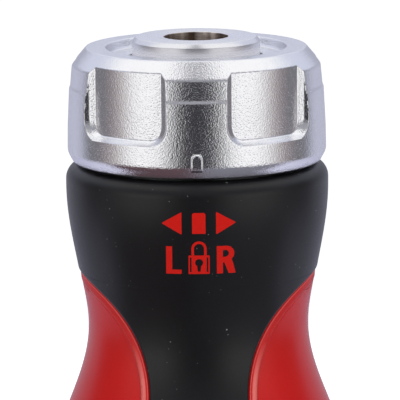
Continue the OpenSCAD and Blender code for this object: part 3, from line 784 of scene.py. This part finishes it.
class Shader:
    """A Principled material under construction, with object coordinates in metres."""

    def __init__(self, name, **values):
        self.material = bpy.data.materials.new(name)
        self.material.use_nodes = True
        self.tree = self.material.node_tree
        self.surface = self.tree.nodes["Principled BSDF"]
        for key, value in values.items():
            self.surface.inputs[key.replace("_", " ")].default_value = value
        self.place = self.add("ShaderNodeTexCoord").outputs["Object"]

    def add(self, kind, links=(), **settings):
        """New node with settings; links are (socket, output or value) pairs."""
        node = self.tree.nodes.new(kind)
        for key, value in settings.items():
            setattr(node, key, value)
        for socket, source in links:
            if isinstance(source, bpy.types.NodeSocket):
                self.tree.links.new(source, node.inputs[socket])
            else:
                node.inputs[socket].default_value = source
        return node

    def math(self, operation, *sources):
        """Result of a Math node."""
        return self.add("ShaderNodeMath", list(enumerate(sources)), operation=operation).outputs[0]

    def noise(self, size, detail=2.0, roughness=0.5):
        """Noise whose grains are about a size in millimetres."""
        links = [("Vector", self.place), ("Scale", 1 / (size * MM)), ("Detail", detail)]
        return self.add("ShaderNodeTexNoise", links + [("Roughness", roughness)]).outputs["Fac"]

    def remap(self, value, low, high, to_low=0.0, to_high=1.0):
        """A value from low to high, mapped to another range and held at its ends."""
        links = [("Value", value), (1, low), (2, high), (3, to_low), (4, to_high)]
        return self.add("ShaderNodeMapRange", links).outputs[0]

    def band(self, value, low, high, soft):
        """1 from low to high, in millimetres, with a soft width at either end."""
        first = self.remap(value, (low - soft) * MM, low * MM)
        return self.math("MULTIPLY", first, self.remap(value, high * MM, (high + soft) * MM, 1.0, 0.0))

    def blend(self, factor, a, b):
        """Colour between two colours, each a triple or a socket."""
        node = self.add("ShaderNodeMix", [("Factor", factor)], data_type="RGBA")
        for index, colour in ((6, a), (7, b)):
            if isinstance(colour, bpy.types.NodeSocket):
                self.tree.links.new(colour, node.inputs[index])
            else:
                node.inputs[index].default_value = (*colour, 1)
        return node.outputs[2]

    def ramp(self, value, stops):
        """Colour along a value, through (place, colour) stops."""
        node = self.add("ShaderNodeValToRGB", [("Fac", value)])
        marks = node.color_ramp.elements
        marks.remove(marks[1])
        marks[0].position, marks[0].color = stops[0][0], (*stops[0][1], 1)
        for place, colour in stops[1:]:
            marks.new(place).color = (*colour, 1)
        return node.outputs["Color"]

    def drive(self, key, source):
        """Links a source to the surface."""
        self.tree.links.new(source, self.surface.inputs[key])

    def bump(self, height, depth, strength=1.0):
        """Bump of a depth in millimetres."""
        links = [("Height", height), ("Distance", depth * MM), ("Strength", strength)]
        self.drive("Normal", self.add("ShaderNodeBump", links).outputs["Normal"])

    def axes(self):
        """The x, y and z of a place on the piece."""
        return self.add("ShaderNodeSeparateXYZ", [(0, self.place)]).outputs

    def turn(self, x, y):
        """Angle from the front to either side, in radians."""
        return self.math("ABSOLUTE", self.math("ARCTAN2", x, self.math("MULTIPLY", y, -1.0)))

    def radius(self, x, y):
        """Length of the diagonal of two lengths."""
        return self.math("SQRT", self.math("ADD", self.math("MULTIPLY", x, x), self.math("MULTIPLY", y, y)))


def steel(name, dark, light, roughness, grain=0.4):
    """Plain machined steel with a faint cloudy finish."""
    shader = Shader(name, Metallic=1.0)
    cloud = shader.noise(grain * 6, 3)
    shader.drive("Base Color", shader.blend(cloud, dark, light))
    low, high = roughness - 0.05, roughness + 0.05
    shader.drive("Roughness", shader.remap(shader.noise(grain), 0.3, 0.7, low, high))
    return shader.material


def satin_chrome():
    """Satin chrome plate with a fine pebbled grain."""
    dim, bright = (0.91, 0.91, 0.935), (0.95, 0.95, 0.975)
    shader = Shader("satin_chrome", Metallic=1.0)
    grain = shader.noise(0.17, 1.5, 0.5)
    shader.drive("Base Color", shader.blend(shader.noise(3, 2), dim, bright))
    shader.drive("Roughness", shader.remap(grain, 0.3, 0.7, 0.1, 0.16))
    shader.bump(grain, 0.034)
    return shader.material


def turned_steel():
    """Turned steel with fine rings about the axis; painted light and shade make the top face paler than the
    flank, and the darker, brownish socket has tan stripes of painted highlight.
    """
    ring_width, stripes_per_radian = 0.16, 2.6
    brown, tan = (0.16, 0.11, 0.08), (0.82, 0.74, 0.68)
    shader = Shader("turned_steel", Metallic=1.0, Anisotropic=0.7, Anisotropic_Rotation=0.25)
    x, y, z = shader.axes()
    radius = shader.radius(x, y)
    along = [("W", shader.math("ADD", radius, z)), ("Scale", 1 / (ring_width * MM)), ("Detail", 1.0)]
    rings = shader.add("ShaderNodeTexNoise", along, noise_dimensions="1D").outputs["Fac"]
    # Painted light and shade: the top and its chamfer get a paler colour than the flank below.
    face = shader.blend(rings, (0.86, 0.86, 0.88), (0.93, 0.93, 0.95))
    shaded_flank = shader.blend(rings, (0.74, 0.73, 0.75), (0.86, 0.85, 0.87))
    outside = shader.blend(shader.math("GREATER_THAN", z, (BOSS_TOP - BOSS_CHAMFER) * MM), shaded_flank, face)
    # Painted highlight: tan stripes round the socket's wall over its darker brownish tone.
    turn = [("W", shader.math("ARCTAN2", x, y)), ("Scale", stripes_per_radian), ("Detail", 1.0)]
    highlight_stripes = shader.add("ShaderNodeTexNoise", turn, noise_dimensions="1D").outputs["Fac"]
    socket = shader.blend(shader.remap(highlight_stripes, 0.35, 0.65), brown, tan)
    inside = shader.math("LESS_THAN", radius, (MOUTH_R - MOUTH_EDGE / 2) * MM)
    deep = shader.math("LESS_THAN", z, (BOSS_TOP - MOUTH_EDGE / 2) * MM)
    shader.drive("Base Color", shader.blend(shader.math("MULTIPLY", inside, deep), outside, socket))
    shader.drive("Roughness", shader.remap(rings, 0.3, 0.7, 0.24, 0.32))
    shader.bump(rings, 0.004)
    tangent = shader.add("ShaderNodeTangent", direction_type="RADIAL", axis="Z")
    shader.drive("Tangent", tangent.outputs[0])
    return shader.material


def soft_black():
    """Matt black soft grip with a fine texture and a little dust."""
    deep, paler_tone, speck = (0.0042, 0.0042, 0.0048), (0.0054, 0.0054, 0.0062), (0.16, 0.16, 0.16)
    shader = Shader("soft_black", IOR=1.45)
    grain = shader.noise(0.22, 3)
    dust = shader.remap(shader.noise(0.35, 1), 0.78, 0.8)
    base = shader.blend(shader.noise(5, 3), deep, paler_tone)
    shader.drive("Base Color", shader.blend(dust, base, speck))
    shader.drive("Roughness", shader.remap(grain, 0.3, 0.7, 0.31, 0.39))
    shader.bump(grain, 0.004)
    return shader.material


def red_plastic():
    """Satin red plastic; the rim of each side panel is finely textured, the panel is smooth; the rim carries
    a painted highlight line at its lip and, low down, a painted pinkish sheen on its pebbled band.
    """
    deep, bright = (0.41, 0.0045, 0.0035), (0.45, 0.006, 0.0045)
    painted_sheen_rim, painted_highlight_lip = (0.58, 0.12, 0.105), (0.56, 0.07, 0.065)
    shader = Shader("red_plastic", IOR=1.42)
    x, _, z = shader.axes()
    above = shader.math("SUBTRACT", z, WINDOW_TOP * MM)
    below = shader.math("SUBTRACT", WINDOW_FOOT * MM, z)
    past = shader.math("MAXIMUM", shader.math("MAXIMUM", above, below), 0.0)
    out = shader.math("SUBTRACT", WINDOW_X * MM, shader.math("ABSOLUTE", x))
    depth = shader.math("SUBTRACT", WINDOW_ROUND * MM, shader.radius(past, out))
    rim = shader.math("LESS_THAN", depth, RIM_WIDTH * MM)
    grain = shader.noise(0.3, 2)
    plain = shader.blend(shader.noise(6, 2), deep, bright)
    # Painted highlight and sheen: a pale line along the lip, and a pinkish band on the pebbled rim that fades
    # out upwards.
    low = shader.remap(z, PEBBLE_SHEEN_Z[0] * MM, PEBBLE_SHEEN_Z[1] * MM, 1.0, 0.0)
    pebble_sheen = shader.math("MULTIPLY", low, shader.band(depth, *PEBBLE_SHEEN))
    paler_tone = shader.blend(pebble_sheen, plain, painted_sheen_rim)
    shader.drive("Base Color", shader.blend(shader.band(depth, *LIP_HIGHLIGHT), paler_tone, painted_highlight_lip))
    shader.drive("Roughness", shader.remap(rim, 0, 1, 0.27, 0.42))
    shader.bump(shader.math("MULTIPLY", grain, shader.remap(rim, 0, 1, 0.12, 1.0)), 0.02)
    return shader.material


def print_red():
    """Flat red print ink."""
    deep, bright = (0.44, 0.0065, 0.0035), (0.48, 0.0085, 0.0045)
    shader = Shader("print_red", Roughness=0.5, Specular_IOR_Level=0.1)
    shader.drive("Base Color", shader.blend(shader.noise(0.5, 2), deep, bright))
    return shader.material


FINISHES = {
    "red_plastic": red_plastic(),
    "soft_black": soft_black(),
    "satin_chrome": satin_chrome(),
    "machined_steel": turned_steel(),
    "housing_steel": steel("housing_steel", (0.48, 0.49, 0.51), (0.58, 0.59, 0.61), 0.35),
    "dark_steel": steel("dark_steel", (0.26, 0.26, 0.28), (0.34, 0.34, 0.36), 0.38),
    "pin_steel": steel("pin_steel", (0.66, 0.66, 0.68), (0.74, 0.74, 0.76), 0.25),
    "spring_steel": steel("spring_steel", (0.54, 0.54, 0.56), (0.64, 0.64, 0.66), 0.3),
    "bronze": steel("bronze", (0.62, 0.43, 0.2), (0.72, 0.53, 0.28), 0.4),
    "magnet": steel("magnet", (0.46, 0.46, 0.48), (0.54, 0.54, 0.56), 0.28),
}


def wear(piece, material):
    """Gives a piece one material."""
    piece.data.materials.clear()
    piece.data.materials.append(material)


def place_piece(piece, body, slot, *nodes, material=None):
    """A piece rides on a body, takes its finish from a slot and stands for CAD nodes."""
    wear(piece, material or FINISHES[slot])
    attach(piece, body)
    if nodes:
        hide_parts(*nodes)


def place_spring(node, axis, towards):
    """A coil stands in the place of a CAD spring, in spring steel, and the CAD spring is hidden."""
    coil = build_spring(node, axis)
    wear(coil, FINISHES["spring_steel"])
    low, high = span(node)
    middle, reach = (low + high) / 2, np.zeros(3)
    reach[axis] = towards * (high - low)[axis] * (0.5 + SPRING_PAST)
    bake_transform(coil)
    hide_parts(node)


place_piece(build_ring(), "selector", "satin_chrome", "selector_ring")
place_piece(build_spindle(), "spindle", "machined_steel", "drive_spindle")
place_piece(build_grip(), "handle", "soft_black", "soft_grip")
place_piece(build_core(), "handle", "red_plastic", "handle_core")
place_piece(build_cap(), "handle", "red_plastic", "end_cap")
place_piece(build_ball(), "detent", "pin_steel", "detent_ball")
for node, pressed_by, axis, towards in (
    ("detent_spring", "detent", 1, 1),
    ("pawl_spring_left", "left_pawl", 0, 1),
    ("pawl_spring_right", "right_pawl", 0, -1),
):
    place_spring(node, axis, towards)
INK = print_red()
for mark in build_marks():
    place_piece(mark, "handle", "red_plastic", material=INK)
for subpart in frame["record"]["subparts"]:
    wear(frame["nodes"][subpart["node"]], FINISHES[subpart["material_slot"]])

# Camera of the photograph: its frame is 400 by 400 pixels
IMAGE = 400
FOCAL = 3328.0  # in pixels
CAMERA_AWAY, CAMERA_RISE, CAMERA_ASIDE = 400.0, 54.27, 0.32
CAMERA_PITCH, CAMERA_ROLL = 10.55, -0.52


def build_camera():
    """Camera at the photograph's viewing angle."""
    data = bpy.data.cameras.new("camera")
    data.sensor_width = 36.0
    data.lens = FOCAL * data.sensor_width / IMAGE
    data.clip_start = 0.01
    camera = bpy.data.objects.new("camera", data)
    bpy.context.scene.collection.objects.link(camera)
    tilt = Matrix.Rotation(math.radians(90 - CAMERA_PITCH), 4, "X")
    roll = Matrix.Rotation(math.radians(CAMERA_ROLL), 4, "Z")
    place = Vector((CAMERA_ASIDE, -CAMERA_AWAY, BOSS_TOP + CAMERA_RISE)) * MM
    camera.matrix_world = Matrix.Translation(place) @ tilt @ roll
    bpy.context.scene.camera = camera


# Studio: a white floor inside a round light tent, with a dark opening towards the camera
FLOOR_HALF = 4000.0
FLOOR_GREY = 0.8
FLOOR_LIFT = 0.6
ROOM_LIGHT = 0.55
TENT_R = 350.0
TENT_H = 480.0
TENT_SIDES = 96
# Bands of the tent: angle from the front where each starts, width of its soft edge, and its light by height
DARK, DIM, WHITE = (0.04, 0.04, 0.045), (0.33, 0.33, 0.36), (1.0, 1.0, 1.0)
ROSE, SHADE = (0.3, 0.255, 0.26), (0.42, 0.43, 0.52)
GREY, SKY_LOW, SKY_HIGH = (0.17, 0.17, 0.185), (0.5, 0.51, 0.62), (0.63, 0.66, 0.78)
TENT_BANDS = [
    (0, 0, [(150, DARK), (230, DIM)]),
    (23, 18, [(140, WHITE), (220, DIM), (420, DIM), (470, WHITE)]),
    (70, 24, [(180, ROSE), (270, SKY_HIGH), (330, SKY_HIGH), (400, WHITE)]),
    (90, 12, [(220, GREY), (290, SKY_HIGH), (330, SKY_HIGH), (400, WHITE)]),
    (117, 8, [(100, SKY_LOW), (130, SHADE), (185, SHADE), (220, SKY_HIGH)]),
    (168, 8, [(100, SKY_LOW), (180, SKY_HIGH)]),
]
SOFT_BOX = (0.9, 0.9, 0.94)
SOFT_BOX_BACK, SOFT_BOX_UP, SOFT_BOX_R, SOFT_BOX_FADE = 250.0, 450.0, 170.0, 240.0
TENT_LEVEL = 1.0
LAMP_ASIDE, LAMP_AWAY, LAMP_UP, LAMP_AIM = 200.0, 240.0, 300.0, 60.0
LAMP_SIZE = 120.0
LAMP_POWER = {-1: 0.56, 1: 0.66}
# Card on the floor: colours in front at the left and right and elsewhere, and the angle where its front ends
MAT_Z = 0.5
MAT_R = 345.0
MAT_LEFT, MAT_RIGHT, MAT_SIDE = (0.09, 0.057, 0.064), (0.165, 0.165, 0.19), (0.63, 0.63, 0.75)
MAT_MIDDLE = 12.0
MAT_TURN, MAT_EDGE = 84.0, 3.0


def seen_ray(shader):
    """1 for what the camera sees, directly or in a mirror or glass."""
    path = shader.add("ShaderNodeLightPath").outputs
    mirrored = shader.math("MAXIMUM", path["Is Glossy Ray"], path["Is Transmission Ray"])
    return shader.math("MAXIMUM", path["Is Camera Ray"], mirrored)


def build_floor():
    """Pale floor that shows white where it is seen and keeps the object's shadow."""
    h = FLOOR_HALF
    floor = mesh_object("floor", [(-h, -h, 0), (h, -h, 0), (h, h, 0), (-h, h, 0)], [(0, 1, 2, 3)])
    shader = Shader("floor", Roughness=0.9, Specular_IOR_Level=0.0, Emission_Color=(1, 1, 1, 1))
    near, far = (FLOOR_GREY - 0.01,) * 3, (FLOOR_GREY + 0.01,) * 3
    shader.drive("Base Color", shader.blend(shader.noise(60, 2), near, far))
    shader.drive("Emission Strength", shader.math("MULTIPLY", seen_ray(shader), FLOOR_LIFT))
    wear(floor, shader.material)


def build_mat():
    """Round card on the floor that only reflections show: reddish and grey in front, bluish elsewhere."""
    rim = around(MAT_R, np.radians(np.arange(TENT_SIDES) * 360 / TENT_SIDES), MAT_Z)
    mat = mesh_object("floor_card", rim, [tuple(range(TENT_SIDES))])
    shader = Shader("floor_card", Roughness=1.0, Specular_IOR_Level=0.0)
    x, y, _ = shader.axes()
    low, high = math.radians(MAT_TURN - MAT_EDGE / 2), math.radians(MAT_TURN + MAT_EDGE / 2)
    side = shader.remap(shader.turn(x, y), low, high)
    front = shader.blend(shader.remap(x, -MAT_MIDDLE * MM, MAT_MIDDLE * MM), MAT_LEFT, MAT_RIGHT)
    shader.drive("Base Color", shader.blend(side, front, MAT_SIDE))
    wear(mat, shader.material)
    mat.visible_camera = False
    mat.visible_diffuse = False
    mat.visible_shadow = False


def build_tent():
    """Round light tent: bands of light about the object and a soft box above, out of the camera's sight."""
    angles = np.radians(np.arange(TENT_SIDES) * 360 / TENT_SIDES)
    rows = np.stack([around(TENT_R, angles, z) for z in (0, TENT_H)]).reshape(-1, 3)
    faces = grid_faces(2, TENT_SIDES) + [tuple(range(TENT_SIDES, 2 * TENT_SIDES))]
    tent = mesh_object("light_tent", rows, faces)
    shader = Shader("light_tent", Base_Color=(0, 0, 0, 1), Specular_IOR_Level=0.0)
    x, y, z = shader.axes()
    turn = shader.turn(x, y)
    height = shader.math("DIVIDE", z, TENT_H * MM)
    light = None
    for start, soft, stops in TENT_BANDS:
        band = shader.ramp(height, [(h / TENT_H, colour) for h, colour in stops])
        edge = shader.remap(turn, math.radians(start - soft / 2), math.radians(start + soft / 2))
        light = shader.blend(edge, light, band) if light else band
    back = shader.math("SUBTRACT", y, SOFT_BOX_BACK * MM)
    down = shader.math("SUBTRACT", z, SOFT_BOX_UP * MM)
    away = shader.radius(x, shader.radius(back, down))
    box = shader.remap(away, SOFT_BOX_R * MM, SOFT_BOX_FADE * MM, 1.0, 0.0)
    shader.drive("Emission Color", shader.blend(box, light, SOFT_BOX))
    shader.surface.inputs["Emission Strength"].default_value = TENT_LEVEL
    wear(tent, shader.material)
    tent.visible_camera = False


def build_lamp(name, side):
    """Soft lamp inside the tent on one side of the camera, out of sight in the metal."""
    data = bpy.data.lights.new(name, "AREA")
    data.shape = "SQUARE"
    data.size = LAMP_SIZE * MM
    data.energy = LAMP_POWER[side]
    lamp = bpy.data.objects.new(name, data)
    bpy.context.scene.collection.objects.link(lamp)
    place = Vector((side * LAMP_ASIDE, -LAMP_AWAY, LAMP_UP)) * MM
    aim = Vector((0, 0, LAMP_AIM)) * MM
    turn = (aim - place).to_track_quat("-Z", "Y").to_matrix().to_4x4()
    lamp.matrix_world = Matrix.Translation(place) @ turn
    lamp.visible_camera = False
    lamp.visible_glossy = False


def build_world():
    """Even white room round the tent."""
    world = bpy.data.worlds.new("room")
    bpy.context.scene.world = world
    world.use_nodes = True
    tree = world.node_tree
    light = tree.nodes["Background"]
    light.inputs["Color"].default_value = (1, 1, 1, 1)
    path = tree.nodes.new("ShaderNodeLightPath")
    seen = path.outputs["Is Camera Ray"]
    for key in ("Is Glossy Ray", "Is Transmission Ray"):
        either = tree.nodes.new("ShaderNodeMath")
        either.operation = "MAXIMUM"
        tree.links.new(seen, either.inputs[0])
        tree.links.new(path.outputs[key], either.inputs[1])
        seen = either.outputs[0]
    strength = tree.nodes.new("ShaderNodeMapRange")
    tree.links.new(seen, strength.inputs["Value"])
    strength.inputs["To Min"].default_value = ROOM_LIGHT
    strength.inputs["To Max"].default_value = 1.0
    tree.links.new(strength.outputs[0], light.inputs["Strength"])


build_camera()
build_floor()
build_mat()
build_tent()
build_lamp("lamp_left", -1)
build_lamp("lamp_right", 1)
build_world()

bpy.context.scene.view_settings.view_transform = "Standard"
